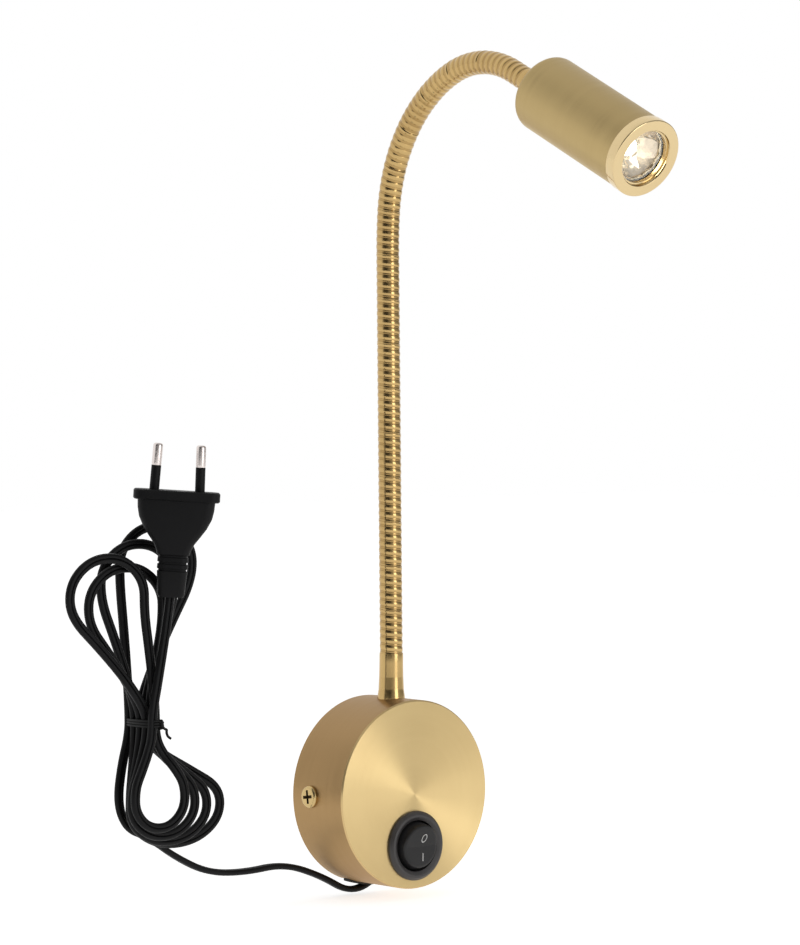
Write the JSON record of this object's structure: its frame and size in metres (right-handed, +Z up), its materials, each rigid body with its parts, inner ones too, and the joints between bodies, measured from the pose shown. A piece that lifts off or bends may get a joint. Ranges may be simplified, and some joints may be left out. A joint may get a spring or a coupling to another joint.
{
  "type": "wall reading lamp",
  "caption": "Wall reading lamp: round base with a rocker switch, ribbed bendable neck, small spot head with a lens, and a tied mains lead with a two-pin plug.",
  "frame": {"origin": "centre of the wall plate's back face, on the wall, midway between the two wall screw slots", "axes": "+Y into the wall, so the lamp stands out and faces towards -Y; +Z up; +X to the right of someone who faces the lamp"},
  "size_m": [0.2104, 0.1795, 0.3546],
  "materials": {
    "satin_brass": "brushed",
    "polished_brass": "polished",
    "brass_screw": "satin",
    "plated_steel": "zinc plated",
    "black_plastic": "satin",
    "white_plastic": "matte",
    "foam_pad": "matte",
    "wire_insulation": "satin",
    "black_rubber": "matte",
    "cord_jacket": "satin",
    "tie_plastic": "matte",
    "plug_plastic": "fine texture",
    "nickel_pins": "plated",
    "aluminium": "milled",
    "board": "matte",
    "light_source": "lit",
    "clear_lens": "clear"
  },
  "bodies": {
    "base": {"base_housing": "satin_brass", "clip_screw": "plated_steel", "collar_nut": "plated_steel", "collar_washer": "plated_steel", "cord_bush": "black_rubber", "cord_clip": "white_plastic", "cord_hank": "cord_jacket", "cord_tie": "tie_plastic", "driver_pad": "foam_pad", "lamp_wires": "wire_insulation", "led_driver": "white_plastic", "neck_collar": "polished_brass", "neck_link_01": "polished_brass", "pin_sleeves": "plug_plastic", "plug_body": "plug_plastic", "plug_lead": "cord_jacket", "plug_pins": "nickel_pins", "power_cord_lead": "cord_jacket", "side_screws": "brass_screw", "supply_wires": "wire_insulation", "switch_body": "black_plastic", "switch_terminals": "plated_steel", "terminal_block": "white_plastic", "wall_plate": "plated_steel"},
    "neck_02": {"neck_link_02": "polished_brass"},
    "neck_03": {"neck_link_03": "polished_brass"},
    "neck_04": {"neck_link_04": "polished_brass"},
    "neck_05": {"neck_link_05": "polished_brass"},
    "neck_06": {"neck_link_06": "polished_brass"},
    "neck_07": {"neck_link_07": "polished_brass"},
    "neck_08": {"neck_link_08": "polished_brass"},
    "neck_09": {"neck_link_09": "polished_brass"},
    "neck_10": {"neck_link_10": "polished_brass"},
    "neck_11": {"neck_link_11": "polished_brass"},
    "neck_12": {"neck_link_12": "polished_brass"},
    "neck_13": {"neck_link_13": "polished_brass"},
    "neck_14": {"neck_link_14": "polished_brass"},
    "neck_15": {"neck_link_15": "polished_brass"},
    "head": {"neck_link_16": "polished_brass", "head_collar": "polished_brass", "head_housing": "satin_brass", "head_nut": "plated_steel", "heat_sink": "aluminium", "led_board": "board", "led_chip": "light_source", "head_wires": "wire_insulation", "collimator_lens": "clear_lens", "lens_holder": "white_plastic", "front_ring": "polished_brass"},
    "rocker": {"switch_rocker": "black_plastic"}
  },
  "joints": [
    {"name": "lower_pitch_01", "type": "hinge", "parent": "base", "child": "neck_02", "pos_m": [0, -0.01624, 0.07786], "axis": [1, 0, 0], "range_deg": [-1, 12]},
    {"name": "lower_side_02", "type": "hinge", "parent": "neck_02", "child": "neck_03", "pos_m": [0, -0.01588, 0.09671], "axis": [0, -0.9998, 0.0192], "range_deg": [-12, 12]},
    {"name": "lower_pitch_03", "type": "hinge", "parent": "neck_03", "child": "neck_04", "pos_m": [0, -0.01551, 0.11557], "axis": [1, 0, 0], "range_deg": [-1, 12]},
    {"name": "lower_side_04", "type": "hinge", "parent": "neck_04", "child": "neck_05", "pos_m": [0, -0.01515, 0.13443], "axis": [0, -0.9998, 0.0192], "range_deg": [-12, 12]},
    {"name": "lower_pitch_05", "type": "hinge", "parent": "neck_05", "child": "neck_06", "pos_m": [0, -0.01479, 0.15329], "axis": [1, 0, 0], "range_deg": [-1, 12]},
    {"name": "lower_side_06", "type": "hinge", "parent": "neck_06", "child": "neck_07", "pos_m": [0, -0.01443, 0.17215], "axis": [0, -0.9998, 0.0192], "range_deg": [-12, 12]},
    {"name": "lower_pitch_07", "type": "hinge", "parent": "neck_07", "child": "neck_08", "pos_m": [0, -0.01406, 0.191], "axis": [1, 0, 0], "range_deg": [-1, 12]},
    {"name": "upper_side_08", "type": "hinge", "parent": "neck_08", "child": "neck_09", "pos_m": [0, -0.0137, 0.20986], "axis": [0, -0.9998, 0.0192], "range_deg": [-12, 12]},
    {"name": "upper_pitch_09", "type": "hinge", "parent": "neck_09", "child": "neck_10", "pos_m": [0, -0.01334, 0.22872], "axis": [1, 0, 0], "range_deg": [-10, 10]},
    {"name": "upper_side_10", "type": "hinge", "parent": "neck_10", "child": "neck_11", "pos_m": [0, -0.01394, 0.24756], "axis": [0, -0.996, -0.0896], "range_deg": [-12, 12]},
    {"name": "upper_pitch_11", "type": "hinge", "parent": "neck_11", "child": "neck_12", "pos_m": [0, -0.01822, 0.26587], "axis": [1, 0, 0], "range_deg": [-10, 10]},
    {"name": "upper_side_12", "type": "hinge", "parent": "neck_12", "child": "neck_13", "pos_m": [0, -0.02738, 0.28229], "axis": [0, -0.7969, -0.6041], "range_deg": [-12, 12]},
    {"name": "upper_pitch_13", "type": "hinge", "parent": "neck_13", "child": "neck_14", "pos_m": [0, -0.04071, 0.29554], "axis": [1, 0, 0], "range_deg": [-10, 10]},
    {"name": "upper_side_14", "type": "hinge", "parent": "neck_14", "child": "neck_15", "pos_m": [0, -0.0572, 0.30457], "axis": [0, -0.3343, -0.9425], "range_deg": [-12, 12]},
    {"name": "upper_pitch_15", "type": "hinge", "parent": "neck_15", "child": "head", "pos_m": [0, -0.07574, 0.30726], "axis": [1, 0, 0], "range_deg": [-10, 10]},
    {"name": "rocker_tilt", "type": "hinge", "parent": "base", "child": "rocker", "pos_m": [0, -0.031, -0.0217], "axis": [1, 0, 0], "range_deg": [-15, 0]}
  ],
  "couplings": [
    {"joint": "lower_pitch_03", "follows": "lower_pitch_01", "ratio": 1},
    {"joint": "lower_side_04", "follows": "lower_side_02", "ratio": 1},
    {"joint": "lower_pitch_05", "follows": "lower_pitch_01", "ratio": 1},
    {"joint": "lower_side_06", "follows": "lower_side_02", "ratio": 1},
    {"joint": "lower_pitch_07", "follows": "lower_pitch_01", "ratio": 1},
    {"joint": "upper_side_10", "follows": "upper_side_08", "ratio": 1},
    {"joint": "upper_pitch_11", "follows": "upper_pitch_09", "ratio": 1},
    {"joint": "upper_side_12", "follows": "upper_side_08", "ratio": 1},
    {"joint": "upper_pitch_13", "follows": "upper_pitch_09", "ratio": 1},
    {"joint": "upper_side_14", "follows": "upper_side_08", "ratio": 1},
    {"joint": "upper_pitch_15", "follows": "upper_pitch_09", "ratio": 1}
  ]
}
